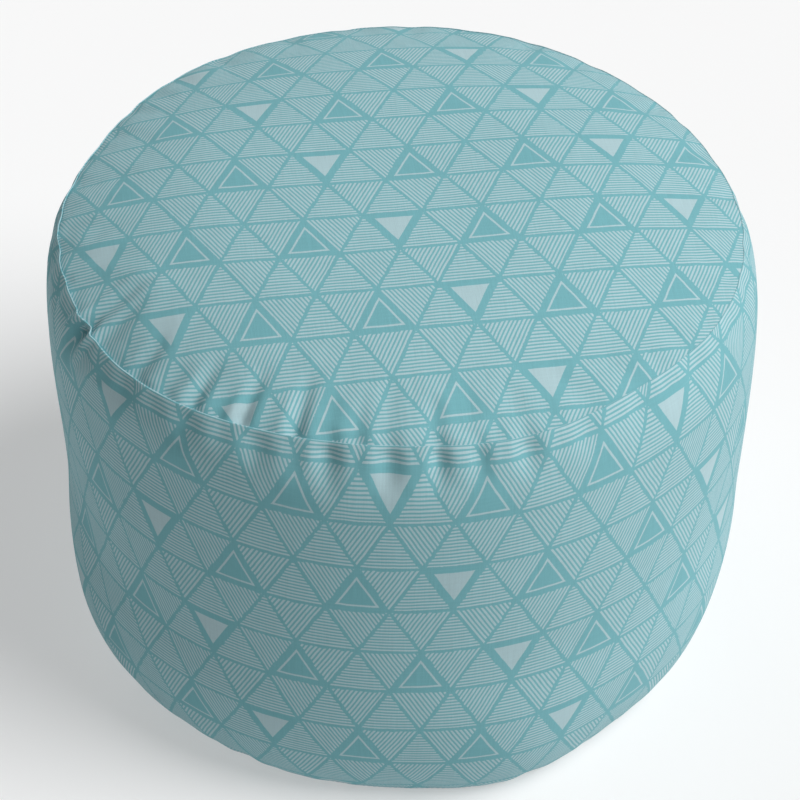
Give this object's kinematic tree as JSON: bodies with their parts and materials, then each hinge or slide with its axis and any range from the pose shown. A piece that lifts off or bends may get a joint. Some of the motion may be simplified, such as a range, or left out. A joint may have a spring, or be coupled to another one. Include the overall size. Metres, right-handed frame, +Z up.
{
  "type": "round filled pouf",
  "caption": "Low round filled pouf with a crowned top panel, a puckered side wall and a flat base panel, to sit on or rest the feet on.",
  "frame": {"origin": "on the surface it stands on, at the middle of the base", "axes": "+Z up through the crown, -Y towards the picture's viewer, +X to the viewer's right"},
  "size_m": [0.4997, 0.4995, 0.3845],
  "materials": {
    "printed_cloth": "matt woven cloth, teal ground with a pale hatched triangle print"
  },
  "bodies": {
    "root": {"top_panel": "printed_cloth", "side_wall": "printed_cloth", "base_panel": "printed_cloth"}
  },
  "joints": []
}
